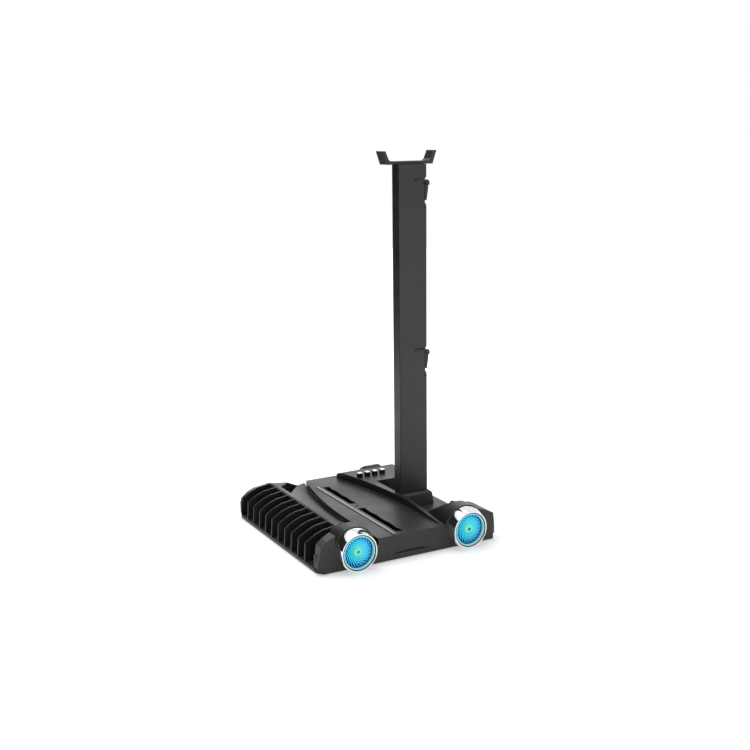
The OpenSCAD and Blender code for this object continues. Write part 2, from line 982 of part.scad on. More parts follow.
// Square button with a flange that keeps it under the cover
module button(i) {
    flange = terrace_h - wall - gap;
    color("#0c0c0e")
        at_button(i) {
            upright(flange - button_foot, terrace_h + button_rise - button_cap_t)
                square(button_w, center = true);
            upright(flange - button_foot, flange)
                square([button_w, button_w + 2 * button_lip], center = true);
        }
}

// Plated cap on a button
module button_cap(i) {
    color("#c9ccd0")
        at_button(i)
            upright(terrace_h + button_rise - button_cap_t, terrace_h + button_rise)
                rounded(button_w, button_w, 0.5);
}

// Chrome nozzle: a wide barrel with a rolled mouth, and a neck inside the base
module nozzle() {
    mouth = 0.7;
    color("#c8ccd2")
        translate([nozzle_x, y_ring, nozzle_z])
            rotate([-90, 0, 0])
                rotate_extrude($fn = 96)
                    polygon([
                        [barrel_in, 0.3], [barrel_in + 0.3, 0], [nozzle_r - mouth, 0], [nozzle_r, mouth],
                        [nozzle_r, nozzle_out - 1], [nozzle_r - 1, nozzle_out - seat], [neck_r, nozzle_out - seat],
                        [neck_r, nozzle_out + neck_len], [neck_in, nozzle_out + neck_len],
                        [neck_in, step_in], [barrel_in, step_in]
                    ]);
}

// Translucent ring that glows round the fan
module light_ring() {
    color("#bfe9ea")
        on_fan_ring(light_in, light_in + light_t, light_r, barrel_in - seat);
}

// Ring board with the lamps behind the light ring
module led_board() {
    color("#e8e8e0")
        on_fan_ring(led_y, led_y + led_t, light_r + 0.2, barrel_in - seat);
}

// Flat ring about the fan axis, at a depth from the mouth
module on_fan_ring(from, to, r0, r1) {
    difference() {
        on_fan_axis(r1, from, to);
        on_fan_axis(r0, from - 1, to + 1);
    }
}

// One gap between two blades
module blade_gap() {
    r0 = hub_r + 3.2;
    r1 = fan_r - rim_w;
    steps = 6;
    wide = 0.62 * 360 / blades;
    polygon(concat(
        [for (i = [0 : steps]) let (t = i / steps, r = r0 + (r1 - r0) * t, a = sweep * t) r * [cos(a), sin(a)]],
        [for (i = [steps : -1 : 1]) let (t = i / steps, r = r0 + (r1 - r0) * t, a = sweep * t + wide * t)
            r * [cos(a), sin(a)]]
    ));
}

// Fan wheel: swept blades between a domed hub and a rim
module fan() {
    bore = shaft_r + shaft_gap;
    color("#28c0f0")
        translate([nozzle_x, y_ring + fan_y, nozzle_z])
            rotate([-90, 0, 0])
                difference() {
                    union() {
                        linear_extrude(fan_t)
                            difference() {
                                circle(r = fan_r, $fn = 96);
                                for (i = [0 : blades - 1])
                                    rotate(i * 360 / blades)
                                        blade_gap();
                            }
                        translate([0, 0, -1])
                            cylinder(r1 = hub_r - 1, r2 = hub_r, h = 1);
                    }
                    translate([0, 0, 1])
                        cylinder(r = bore, h = fan_t);
                }
}

// Steel shaft that the fan turns on, fixed in the cup of the fan frame
module fan_shaft() {
    color("#9a9da2")
        on_fan_axis(shaft_r, fan_y + 1 + gap, fan_y + 1 + gap + shaft_len);
}

// Frame behind the fan: a ring, four struts and the motor cup
module fan_frame() {
    front = fan_y + fan_t + gap;
    strut_w = 2.2;
    color("#141416")
        difference() {
            union() {
                on_fan_ring(led_y + led_t, step_in, light_r + 0.4, barrel_in - seat);
                on_fan_ring(front, step_in, neck_in - 1, barrel_in - seat);
                on_fan_axis(cup_r, front, step_in);
                for (a = [45 : 90 : 315])
                    translate([nozzle_x, y_ring + step_in, nozzle_z])
                        rotate([90, 0, 0])
                            rotate(a)
                                translate([0, -strut_w / 2, 0])
                                    cube([neck_in, strut_w, step_in - front]);
            }
            on_fan_axis(shaft_r, front - 1, step_in + 1);
        }
}

// Circuit board with its driver chip, on four pegs of the floor
module main_board() {
    corner = [-main_board_size.x / 2, y_back - main_board_back];
    z = floor_top + board_peg_h;
    peg_in = 5;
    color("#1f6b3a")
        translate([corner.x, corner.y, z])
            cube([main_board_size.x, main_board_size.y, board_t]);
    color("#222222")
        translate([-chip_left, y_back - chip_back, z + board_t])
            cube(chip_size);
    color("#222222")
        for (x = [peg_in, main_board_size.x - peg_in], y = [peg_in, main_board_size.y - peg_in])
            translate([corner.x + x, corner.y + y, floor_top])
                cylinder(r = peg_r, h = board_peg_h);
}

// Board with one switch under each button, hung from the pegs of the cover
module button_board() {
    switch_w = 4.5;
    board_d = 12;
    length = (buttons - 1) * button_pitch + switch_w;
    color("#1f6b3a")
        translate([button_x - switch_w / 2, y_back - button_back - board_d / 2, board_top - board_t])
            cube([length, board_d, board_t]);
    color("#222222")
        for (i = [0 : buttons - 1])
            at_button(i)
                upright(board_top, switch_top)
                    square(switch_w, center = true);
}

// Housing of the two ports on the back edge
module port_housing() {
    top = terrace_h + port_rise;
    back = y_back - 1;
    port = [8.8, 10, 3.2];
    color("#232427")
        difference() {
            intersection() {
                port_space(-seat);
                along_x(-big / 2, big / 2)
                    polygon([
                        [y_ledge - 1, deck_h], [y_ledge - 1, terrace_h], [y_ledge + 1, top],
                        [y_ledge + port.y / 2, top], [back, rear_h + port_rise], [back, deck_h]
                    ]);
                along_y(y_front, y_back)
                    polygon([
                        [port_x - port_w / 2, deck_h], [port_x - port_w / 2, terrace_h - 1], [port_x - port_w / 2 + 3, top],
                        [port_x + port_w / 2 - 3, top], [port_x + port_w / 2, terrace_h - 1], [port_x + port_w / 2, deck_h]
                    ]);
            }
            for (s = [-1, 1])
                translate([port_x + s * port_w / 4 - port.x / 2, back - port.y + 1, deck_h + port.z])
                    cube(port);
        }
}

// Socket for the power lead in the back wall, with its foot on the floor
module power_socket() {
    shell = 0.6;
    tongue = [6, 5, 0.8];
    center_z = floor_top + 4;
    color("#8d9095") {
        translate([inlet_x, 0, center_z])
            difference() {
                along_y(y_back - inlet_size.y, y_back - 0.4)
                    rounded(inlet_size.x, inlet_size.z, 1.4);
                along_y(y_back - inlet_size.y + 2, y_back)
                    rounded(inlet_size.x - 2 * shell, inlet_size.z - 2 * shell, 0.9);
            }
        translate([inlet_x - tongue.x / 2, y_back - inlet_size.y + 1, center_z - tongue.z / 2])
            cube(tongue);
        translate([inlet_x - tongue.x / 2, y_back - inlet_size.y, floor_top])
            cube([tongue.x, tongue.y / 2, center_z - floor_top - shell]);
    }
}

module case_screws() {
    color("#6d6f73")
        for (p = cover_screws)
            screw(p);
}

module post_screws() {
    color("#6d6f73")
        for (p = post_screw_spots)
            screw(p);
}

top_cover();
bottom_cover();
game_rack();
guide_strip();
pad(0);  // pad_front_left
pad(1);  // pad_rear_left
pad(2);  // pad_front_right
pad(3);  // pad_rear_right
post();
post_collar();
headset_hanger();
upper_hook();
lower_hook();
button(0);  // button_1
button(1);  // button_2
button(2);  // button_3
button(3);  // button_4
button_cap(0);  // button_cap_1
button_cap(1);  // button_cap_2
button_cap(2);  // button_cap_3
button_cap(3);  // button_cap_4
on_side(-1) nozzle();  // nozzle_left
on_side(1) nozzle();  // nozzle_right
on_side(-1) light_ring();  // light_ring_left
on_side(1) light_ring();  // light_ring_right
on_side(-1) led_board();  // led_board_left
on_side(1) led_board();  // led_board_right
on_side(-1) fan();  // fan_left
on_side(1) fan();  // fan_right
on_side(-1) fan_shaft();  // fan_shaft_left
on_side(1) fan_shaft();  // fan_shaft_right
on_side(-1) fan_frame();  // fan_frame_left
on_side(1) fan_frame();  // fan_frame_right
main_board();
button_board();
port_housing();
power_socket();
case_screws();
post_screws();
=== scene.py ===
"""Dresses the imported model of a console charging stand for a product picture.

The stand is a low black base with a game rack on the left, a platform with air slots for a
console, two chrome fan nozzles that glow, a rear terrace with four buttons, and a tall post
with a headset hanger and two hooks. Lengths are in metres, +Z is up and the front faces -Y.
"""

from __future__ import annotations

import json
import logging
import math
from dataclasses import dataclass
from enum import Enum

import bmesh
import bpy
from mathutils import Matrix, Vector

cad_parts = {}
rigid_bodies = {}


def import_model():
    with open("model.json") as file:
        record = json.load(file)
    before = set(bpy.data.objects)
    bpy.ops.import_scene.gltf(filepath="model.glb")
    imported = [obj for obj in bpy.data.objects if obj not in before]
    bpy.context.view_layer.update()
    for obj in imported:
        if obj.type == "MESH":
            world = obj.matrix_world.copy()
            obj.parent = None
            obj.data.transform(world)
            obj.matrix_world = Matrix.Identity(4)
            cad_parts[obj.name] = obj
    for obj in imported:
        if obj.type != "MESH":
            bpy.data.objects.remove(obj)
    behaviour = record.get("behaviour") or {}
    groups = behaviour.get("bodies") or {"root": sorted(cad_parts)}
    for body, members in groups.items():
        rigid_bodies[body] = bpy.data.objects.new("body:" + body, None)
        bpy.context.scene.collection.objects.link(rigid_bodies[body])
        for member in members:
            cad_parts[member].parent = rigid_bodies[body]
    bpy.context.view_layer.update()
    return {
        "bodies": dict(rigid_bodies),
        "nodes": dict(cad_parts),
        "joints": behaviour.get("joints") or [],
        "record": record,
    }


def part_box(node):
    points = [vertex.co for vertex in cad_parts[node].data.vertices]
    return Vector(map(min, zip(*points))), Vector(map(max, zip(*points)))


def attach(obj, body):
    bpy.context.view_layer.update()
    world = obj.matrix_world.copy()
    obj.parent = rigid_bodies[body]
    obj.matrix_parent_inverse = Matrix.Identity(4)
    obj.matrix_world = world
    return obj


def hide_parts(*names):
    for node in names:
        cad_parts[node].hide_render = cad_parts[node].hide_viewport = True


LOG = logging.getLogger("stand")
Pair = tuple[float, float]
Triple = tuple[float, float, float]
MM = 0.001
# Points closer than this are one point
WELD = 0.001 * MM
# Faces of a turned piece that meet at more than this keep a sharp edge
CREASE = math.radians(35)
WHITE = (1.0, 1.0, 1.0, 1.0)
STAND = "stand"


class Side(Enum):
    """The two sides of the base that carry a nozzle."""

    LEFT = -1
    RIGHT = 1

    @property
    def tag(self) -> str:
        """Return the side's name as the nodes spell it."""
        return self.name.lower()


def linear(colour: str) -> tuple[float, float, float, float]:
    """Turn an sRGB hex colour into linear values.

    Args:
        colour: A colour such as "#1C1C1E".

    Returns:
        Linear red, green and blue, and an alpha of 1.
    """
    parts = [int(colour[i : i + 2], 16) / 255 for i in (1, 3, 5)]
    red, green, blue = (c / 12.92 if c <= 0.04045 else ((c + 0.055) / 1.055) ** 2.4 for c in parts)
    return red, green, blue, 1.0


def ramp(value: float, start: float, run: float) -> float:
    """Return how far a value has gone along a run, from 0 at its start to 1 at its end.

    Args:
        value: The value.
        start: Where the run starts.
        run: The run's length.

    Returns:
        The share, held between 0 and 1.
    """
    return min(max((value - start) / run, 0.0), 1.0)


def add_node(
    tree: bpy.types.NodeTree, kind: str, inputs: dict | None = None, **settings: object
) -> bpy.types.Node:
    """Add one node with its settings and its inputs.

    Args:
        tree: The shader or geometry tree that gets the node.
        kind: The node's type name.
        inputs: Input name or index to a value, or to an output socket that is linked in.
        **settings: Attributes of the node, such as operation="MULTIPLY".

    Returns:
        The new node.
    """
    node = tree.nodes.new(kind)
    for name, value in settings.items():
        setattr(node, name, value)
    for key, value in (inputs or {}).items():
        if isinstance(key, int):
            socket = node.inputs[key]
        else:
            socket = next(s for s in node.inputs if s.name == key and s.enabled)
        if isinstance(value, bpy.types.NodeSocket):
            tree.links.new(value, socket)
        else:
            socket.default_value = value
    return node


def result(node: bpy.types.Node) -> bpy.types.NodeSocket:
    """Return the first output of a node that is in use."""
    return next(s for s in node.outputs if s.enabled)


def link_mesh(name: str, mesh: bpy.types.Mesh) -> bpy.types.Object:
    """Put a mesh in the scene as an object at the origin.

    Args:
        name: The object's name.
        mesh: The mesh, already in its place.

    Returns:
        The new object.
    """
    piece = bpy.data.objects.new(name, mesh)
    bpy.context.scene.collection.objects.link(piece)
    return piece


def place_mesh(name: str, mesh: bpy.types.Mesh, material: bpy.types.Material) -> bpy.types.Object:
    """Put a mesh in the scene with its finish.

    Args:
        name: The object's name.
        mesh: The mesh, already in its place.
        material: The material for all of it.

    Returns:
        The new object.
    """
    mesh.materials.clear()
    mesh.materials.append(material)
    return link_mesh(name, mesh)


def turned(
    name: str, profile: list[tuple[float, ...]], centre: Vector, material: bpy.types.Material, steps: int = 72
) -> bpy.types.Object:
    """Turn a profile about a line along Y into one closed, smooth piece.

    Args:
        name: The piece's name.
        profile: Radius and depth of each ring, and its lift where it has one.
        centre: A point on the axis; depths count from it, towards +Y.
        material: The piece's finish.
        steps: How many flats go round.

    Returns:
        The finished piece.
    """
    mesh = bpy.data.meshes.new(name)
    shape = bmesh.new()
    rows = []
    for radius, depth, *lift in profile:
        height = centre.z + sum(lift)
        spots = [
            (centre.x + radius * math.cos(turn), centre.y + depth, height + radius * math.sin(turn))
            for turn in (math.tau * i / steps for i in range(steps if radius > 0 else 1))
        ]
        rows.append([shape.verts.new(spot) for spot in spots])
    for low, high in zip(rows, rows[1:]):
        for i in range(steps):
            k = (i + 1) % steps
            ring = [low[i % len(low)], low[k % len(low)], high[k % len(high)], high[i % len(high)]]
            corners = list(dict.fromkeys(ring))
            if len(corners) > 2:
                shape.faces.new(corners)
    bmesh.ops.remove_doubles(shape, verts=shape.verts, dist=WELD)
    bmesh.ops.recalc_face_normals(shape, faces=shape.faces)
    for face in shape.faces:
        face.smooth = True
    shape.to_mesh(mesh)
    shape.free()
    mesh.set_sharp_from_angle(angle=CREASE)
    return place_mesh(name, mesh, material)


def paint(frame: dict, node: str, material: bpy.types.Material) -> None:
    """Give one CAD piece its material.

    Args:
        frame: The loaded model.
        node: The piece's node name.
        material: The material for all of it.
    """
    mesh = frame["nodes"][node].data
    mesh.materials.clear()
    mesh.materials.append(material)


@dataclass(frozen=True)
class Finish:
    """A finish: what the real material is, as a procedural surface."""

    name: str
    colour: str
    roughness: float = 0.45
    metallic: float = 0.0
    ior: float = 1.5

    def start(self) -> tuple[bpy.types.Material, bpy.types.NodeTree, bpy.types.Node]:
        """Make an empty material with its shader and output.

        Returns:
            The material, its node tree and its Principled shader.
        """
        material = bpy.data.materials.new(self.name)
        material.use_nodes = True
        material.diffuse_color = linear(self.colour)
        tree = material.node_tree
        tree.nodes.clear()
        settings = {
            "Base Color": linear(self.colour),
            "Roughness": self.roughness,
            "Metallic": self.metallic,
            "IOR": self.ior,
        }
        shader = add_node(tree, "ShaderNodeBsdfPrincipled", settings)
        add_node(tree, "ShaderNodeOutputMaterial", {"Surface": shader.outputs[0]})
        return material, tree, shader

    def build(self) -> bpy.types.Material:
        """Return the finished material."""
        return self.start()[0]


@dataclass(frozen=True)
class MouldedPlastic(Finish):
    """ABS from an eroded mould: a fine grain breaks up the gloss, and edges are slightly round."""

    colour_high: str = ""
    grain_mm: float = 0.5
    grain_depth_mm: float = 0.02
    grain_strength: float = 0.6
    scuff_grains: float = 6.0
    scuff_range: Pair = (0.35, 0.65)
    edge_mm: float = 0.5
    edge_samples: int = 6
    cloud_mm: float = 40.0
    cloud_depth: float = 0.06
    cloud_range: Pair = (0.3, 0.7)

    def build(self) -> bpy.types.Material:
        """Build grain as bump, cloudy roughness, and round edges.

        Returns:
            The finished material.
        """
        material, tree, shader = self.start()
        place = add_node(tree, "ShaderNodeTexCoord").outputs["Object"]
        grain = add_node(
            tree, "ShaderNodeTexNoise", {"Vector": place, "Scale": 1 / (self.grain_mm * MM), "Detail": 2.0}
        )
        scuff_scale = 1 / (self.scuff_grains * self.grain_mm * MM)
        scuff = add_node(tree, "ShaderNodeTexNoise", {"Vector": place, "Scale": scuff_scale, "Detail": 4.0})
        low, high = self.scuff_range
        tone = add_node(
            tree, "ShaderNodeMapRange", {"Value": scuff.outputs["Fac"], "From Min": low, "From Max": high}
        )
        shade = add_node(
            tree,
            "ShaderNodeMix",
            {
                "Factor": tone.outputs["Result"],
                "A": linear(self.colour),
                "B": linear(self.colour_high or self.colour),
            },
            data_type="RGBA",
        )
        tree.links.new(result(shade), shader.inputs["Base Color"])
        cloud = add_node(
            tree, "ShaderNodeTexNoise", {"Vector": place, "Scale": 1 / (self.cloud_mm * MM), "Detail": 3.0}
        )
        rough = add_node(
            tree,
            "ShaderNodeMapRange",
            {
                "Value": cloud.outputs["Fac"],
                "From Min": self.cloud_range[0],
                "From Max": self.cloud_range[1],
                "To Min": self.roughness - self.cloud_depth,
                "To Max": self.roughness + self.cloud_depth,
            },
        )
        edge = add_node(tree, "ShaderNodeBevel", {"Radius": self.edge_mm * MM}, samples=self.edge_samples)
        bump = add_node(
            tree,
            "ShaderNodeBump",
            {
                "Height": grain.outputs["Fac"],
                "Distance": self.grain_depth_mm * MM,
                "Strength": self.grain_strength,
                "Normal": edge.outputs["Normal"],
            },
        )
        tree.links.new(rough.outputs["Result"], shader.inputs["Roughness"])
        tree.links.new(bump.outputs["Normal"], shader.inputs["Normal"])
        return material


@dataclass(frozen=True)
class PlatedChrome(Finish):
    """Bright chrome plate on moulded ABS: a mirror with the faint waviness of the moulding under it."""

    wave_mm: float = 6.0
    wave_depth_mm: float = 0.02
    wave_strength: float = 0.5
    edge_mm: float = 0.3
    edge_samples: int = 4

    def build(self) -> bpy.types.Material:
        """Build the slightly uneven mirror.

        Returns:
            The finished material.
        """
        material, tree, shader = self.start()
        place = add_node(tree, "ShaderNodeTexCoord").outputs["Object"]
        wave = add_node(
            tree, "ShaderNodeTexNoise", {"Vector": place, "Scale": 1 / (self.wave_mm * MM), "Detail": 1.0}
        )
        edge = add_node(tree, "ShaderNodeBevel", {"Radius": self.edge_mm * MM}, samples=self.edge_samples)
        bump = add_node(
            tree,
            "ShaderNodeBump",
            {
                "Height": wave.outputs["Fac"],
                "Distance": self.wave_depth_mm * MM,
                "Strength": self.wave_strength,
                "Normal": edge.outputs["Normal"],
            },
        )
        tree.links.new(bump.outputs["Normal"], shader.inputs["Normal"])
        return material


@dataclass(frozen=True)
class LitPolycarbonate(Finish):
    """Translucent polycarbonate lit from behind.

    Its stops, each a radius in millimetres and a colour, run from the hub to the rim; painted shade
    darkens the colour towards the back, and its glow is painted light in place of the lamps behind it.
    """

    stops: tuple[tuple[float, str], ...] = ((0.0, "#FFFFFF"),)
    deep: str = "#0077D6"
    front_mm: float = -2.0
    back_mm: float = 2.0
    glow: float = 0.6
    cloud_mm: float = 1.2
    cloud_size_mm: float = 6.25
    centre: Triple = (0.0, 0.0, 0.0)

    def build(self) -> bpy.types.Material:
        """Build the run of colour and its glow about a fan axis along Y.

        Returns:
            The finished material.
        """
        material, tree, shader = self.start()
        reach_mm = self.stops[-1][0]
        place = add_node(tree, "ShaderNodeTexCoord").outputs["Object"]
        about = add_node(
            tree, "ShaderNodeVectorMath", {0: place, 1: self.centre}, operation="SUBTRACT"
        ).outputs[0]
        upright = (1.0, 0.0, 1.0)
        flat = add_node(
            tree, "ShaderNodeVectorMath", {0: about, 1: upright}, operation="MULTIPLY"
        ).outputs[0]
        reach = add_node(tree, "ShaderNodeVectorMath", {0: flat}, operation="LENGTH").outputs["Value"]
        scale = 1 / (self.cloud_size_mm * MM)
        cloud = add_node(tree, "ShaderNodeTexNoise", {"Vector": place, "Scale": scale, "Detail": 1.0})
        uneven = add_node(
            tree,
            "ShaderNodeMath",
            {0: cloud.outputs["Fac"], 1: self.cloud_mm * MM, 2: -self.cloud_mm * MM / 2},
            operation="MULTIPLY_ADD",
        )
        spread = add_node(tree, "ShaderNodeMath", {0: reach, 1: uneven.outputs[0]}, operation="ADD")
        share = add_node(tree, "ShaderNodeMapRange", {"Value": spread.outputs[0], "From Max": reach_mm * MM})
        run = add_node(tree, "ShaderNodeValToRGB", {"Fac": share.outputs["Result"]})
        steps = run.color_ramp.elements
        steps[0].position, steps[1].position = self.stops[0][0] / reach_mm, 1.0
        steps[0].color, steps[1].color = linear(self.stops[0][1]), linear(self.stops[-1][1])
        for radius_mm, colour in self.stops[1:-1]:
            steps.new(radius_mm / reach_mm).color = linear(colour)
        # Painted shade: the deeper a point lies behind the centre, the more its colour turns to the dark back
        # colour
        depth = add_node(tree, "ShaderNodeSeparateXYZ", {0: about}).outputs["Y"]
        shade_share = add_node(
            tree,
            "ShaderNodeMapRange",
            {"Value": depth, "From Min": self.front_mm * MM, "From Max": self.back_mm * MM},
        )
        tone = add_node(
            tree,
            "ShaderNodeMix",
            {"Factor": shade_share.outputs["Result"], "A": run.outputs["Color"], "B": linear(self.deep)},
            data_type="RGBA",
        )
        tree.links.new(result(tone), shader.inputs["Base Color"])
        # Painted light: the glow stands in for the lamps that light the polycarbonate from behind
        tree.links.new(result(tone), shader.inputs["Emission Color"])
        shader.inputs["Emission Strength"].default_value = self.glow
        return material


@dataclass(frozen=True)
class ZincSteel(Finish):
    """Zinc-plated steel: grey metal with fine turning marks."""

    marks_per_m: float = 1800.0
    mark_depth_mm: float = 0.02
    mark_strength: float = 0.4

    def build(self) -> bpy.types.Material:
        """Build the turned metal.

        Returns:
            The finished material.
        """
        material, tree, shader = self.start()
        place = add_node(tree, "ShaderNodeTexCoord").outputs["Object"]
        settings = {"Vector": place, "Scale": self.marks_per_m, "Detail": 2.0}
        marks = add_node(tree, "ShaderNodeTexNoise", settings)
        bump = add_node(
            tree,
            "ShaderNodeBump",
            {
                "Height": marks.outputs["Fac"],
                "Distance": self.mark_depth_mm * MM,
                "Strength": self.mark_strength,
            },
        )
        tree.links.new(bump.outputs["Normal"], shader.inputs["Normal"])
        return material


# Black ABS of the covers: satin from a finely eroded mould, so it pales where it is seen along the surface
COVER_ABS = MouldedPlastic("black_abs_moulded", "#19191A", 0.43, colour_high="#1D1D1E", edge_mm=0.7)
# The post and what it carries: the same satin ABS, a shade paler
POST_ABS = MouldedPlastic("black_abs_post", "#1C1C1D", 0.42, colour_high="#202021")
# Dull black ABS of the rack insert and the fan frames, with a shallower grain
RACK_ABS = MouldedPlastic("black_abs_rack", "#171719", 0.5, colour_high="#1B1B1C", grain_depth_mm=0.01)
# Printed circuit board under its green mask: smooth and slightly glossy
BOARD_MASK = MouldedPlastic(
    "solder_mask_green", "#1F6B3A", 0.35, colour_high="#237541", grain_depth_mm=0.005
)
# White mask of the lamp boards: matt, to send the light forward
LAMP_MASK = MouldedPlastic("solder_mask_white", "#E4E4DC", 0.5, colour_high="#DCDCD4", grain_depth_mm=0.005)
# Grey inlay beside the air slots: a pale satin line in the black platform
STRIP_ABS = MouldedPlastic(
    "grey_abs_inlay", "#8E9092", 0.38, colour_high="#98999B", grain_depth_mm=0.01, edge_mm=0.3
)
# The button bodies are polished black ABS, which mirrors the terrace faintly
BUTTON_ABS = MouldedPlastic(
    "black_abs_polished", "#070708", 0.22, colour_high="#09090A", grain_depth_mm=0.0, edge_mm=0.3
)
# Silicone rubber of the pads: dull, with a soft grain
PAD_RUBBER = MouldedPlastic(
    "silicone_rubber_black", "#121212", 0.8, colour_high="#171717", grain_mm=0.8, grain_depth_mm=0.05
)
# Chrome plate on ABS: a bright mirror with the moulding's faint waves
CHROME = PlatedChrome("chrome_plated_abs", "#E6E8EA", 0.06, 1.0)
# Zinc-plated steel of screws, shafts and inlet: grey, half mirror
STEEL = ZincSteel("zinc_plated_steel", "#9A9DA2", 0.35, 1.0)
# Pale painted board of the studio floor: matt, so it takes a soft shadow
FLOOR_PAINT = Finish("studio_floor", "#F2F2F2", 0.9)
# Velvet of the studio's dark cards: swallows nearly all light
CARD_VELVET = Finish("black_velvet", "#0C0C0C", 1.0)


@dataclass
class TopCoverShape:
    """The carved forms of the top cover, in millimetres: left deck, cable pocket and front end of the lip.

    The left deck falls from the ridge beside the rack to a foot line on the platform's side wall.
    Towards the back edge a brow and a knee break its slope, and the pocket is sunk into it.
    """

    ridge_x: float = -70.5
    ridge_z: float = 37.7
    back_y: float = 116.5
    front_y: float = -80.0
    fall_y: float = 101.5
    fall: float = 0.313
    edge_width: float = 39.0
    edge_turn_y: float = -38.5
    edge_run: float = 168.0
    edge_sag: float = 21.5
    foot_z: float = 22.0
    foot_back_z: float = 25.4
    foot_back_y: float = 85.0
    foot_back_run: float = 30.0
    foot_front_y: float = -55.0
    foot_front_run: float = 25.0
    foot_front_rise: float = 5.0
    knee_y: float = 64.0
    knee_x: float = -61.5
    knee_back_x: float = -29.2
    knee_back_z: float = 23.9
    brow_y: float = 91.0
    brow_x: float = -62.0
    brow_back_x: float = -42.0
    brow_rise: float = 1.2
    brow_gap: float = 0.5
    cheek_y: float = -48.0
    cheek_run: float = 12.0
    cheek_step: float = 22.9
    ridge_width: float = 1.0
    ridge_lap: float = 0.6
    skin: float = 2.0
    lap: float = 0.9
    crown: float = 0.4
    past_back: float = 1.0
    rows: int = 48
    columns: int = 12
    clear_z: float = 60.0
    pocket_floor: float = 14.0
    pocket_wall: float = 1.3
    pocket_left: tuple[Pair, ...] = ((-62.5, 90.5), (-61.5, 64.5))
    pocket_back_x: Pair = (-29.5, -43.4)
    back_wall_x: Pair = (-46.0, -26.0)
    back_wall_z: Pair = (12.4, 32.0)
    back_wall_lap: float = 0.1
    back_wall_inset: float = 0.05
    lip_plan: tuple[Pair, ...] = ((38.4, -110.0), (44.2, -110.0), (44.2, -28.0), (38.4, -28.0))
    lip_lows: tuple[float, ...] = (27.46, 27.46, 36.2, 36.2)

    def edge_x(self, y: float) -> float:
        """Return the platform's left edge at a depth: straight in front, then a shallow arc.

        Args:
            y: The depth in millimetres.

        Returns:
            The edge's X in millimetres.
        """
        radius = (self.edge_run * self.edge_run + self.edge_sag * self.edge_sag) / (2 * self.edge_sag)
        bend = max(y - self.edge_turn_y, 0.0)
        return -(self.edge_width - radius + math.sqrt(radius * radius - bend * bend))

    def section(self, y: float) -> list[Pair]:
        """Return the deck's profile across X at a depth.

        Args:
            y: The depth in millimetres.

        Returns:
            X and height of the ridge, the brow, the knee and the foot, in millimetres.
        """
        ridge = self.ridge_z - self.fall * max(y - self.fall_y, 0.0)
        foot_x = self.edge_x(y)
        foot = self.foot_z + (self.foot_back_z - self.foot_z) * ramp(y, self.foot_back_y, self.foot_back_run)
        foot += self.foot_front_rise * ramp(-y, -self.foot_front_y, self.foot_front_run)

        def line(x: float) -> float:
            """Return the height at X on the straight slope from the ridge to the foot."""
            return ridge + (foot - ridge) * (x - self.ridge_x) / (foot_x - self.ridge_x)

        share = ramp(y, self.knee_y, self.back_y - self.knee_y)
        knee_x = self.knee_x + share * (self.knee_back_x - self.knee_x)
        knee = line(knee_x) + share * (self.knee_back_z - line(self.knee_back_x))
        share = ramp(y, self.brow_y, self.back_y - self.brow_y)
        brow_x = min(self.brow_x + share * (self.brow_back_x - self.brow_x), knee_x - self.brow_gap)
        brow = line(brow_x) + share * self.brow_rise
        return [(self.ridge_x, ridge), (brow_x, brow), (knee_x, knee), (foot_x, foot)]

    def height(self, x: float, y: float) -> float:
        """Return the deck's height at a place.

        Args:
            x: The place's X in millimetres.
            y: The place's Y in millimetres.

        Returns:
            The height in millimetres.
        """
        line = self.section(y)
        for (x0, z0), (x1, z1) in zip(line, line[1:]):
            if x <= x1:
                return z0 + (z1 - z0) * (x - x0) / (x1 - x0)
        return line[-1][1]

    def grid(self, grow: float, past_back: float) -> list[list[Triple]]:
        """Spread rows of points over the deck, from its front to its back.

        Args:
            grow: How far the rows reach past the deck's own outline, at the foot and at the ridge.
            past_back: How far the last row lies behind the back edge.

        Returns:
            The rows, each with points from the ridge to the foot, in millimetres.
        """
        rows = []
        run = self.back_y + past_back - self.front_y
        for i in range(self.rows + 1):
            y = self.front_y + run * i / self.rows
            spot_y = min(y, self.back_y)
            cheek = ramp(-y, -self.cheek_y, self.cheek_run)
            left = self.ridge_x + self.ridge_width - min(grow, self.ridge_lap) + cheek * self.cheek_step
            edge = self.edge_x(spot_y)
            width = edge + grow - left
            spots = (left + width * k / self.columns for k in range(self.columns + 1))
            rows.append([(x, y, self.height(min(x, edge), spot_y)) for x in spots])
        return rows

    def slab(self, name: str, rows: list[list[Triple]], bottom: float, top: float | None) -> bpy.types.Object:
        """Make a closed slab that follows the deck.

        Args:
            name: The slab's name.
            rows: Rows of points on the deck's surface.
            bottom: Its underside, counted from the surface.
            top: Its top, counted from the surface, or None for a flat top clear of the cover.

        Returns:
            The slab.
        """
        shape = bmesh.new()
        low = [[shape.verts.new((x * MM, y * MM, (z + bottom) * MM)) for x, y, z in row] for row in rows]
        lids = [[(x, y, self.clear_z if top is None else z + top) for x, y, z in row] for row in rows]
        high = [[shape.verts.new((x * MM, y * MM, z * MM)) for x, y, z in row] for row in lids]
        last_row, last = len(rows) - 1, len(rows[0]) - 1
        for i in range(last_row):
            for k in range(last):
                shape.faces.new((low[i][k], low[i + 1][k], low[i + 1][k + 1], low[i][k + 1]))
                shape.faces.new((high[i][k], high[i][k + 1], high[i + 1][k + 1], high[i + 1][k]))
            for k, turn in ((0, 1), (last, -1)):
                ring = (low[i][k], high[i][k], high[i + 1][k], low[i + 1][k])
                shape.faces.new(ring[::turn])
        for i, turn in ((0, -1), (last_row, 1)):
            for k in range(last):
                ring = (low[i][k], high[i][k], high[i][k + 1], low[i][k + 1])
                shape.faces.new(ring[::turn])
        bmesh.ops.recalc_face_normals(shape, faces=shape.faces)
        mesh = bpy.data.meshes.new(name)
        shape.to_mesh(mesh)
        shape.free()
        return link_mesh(name, mesh)

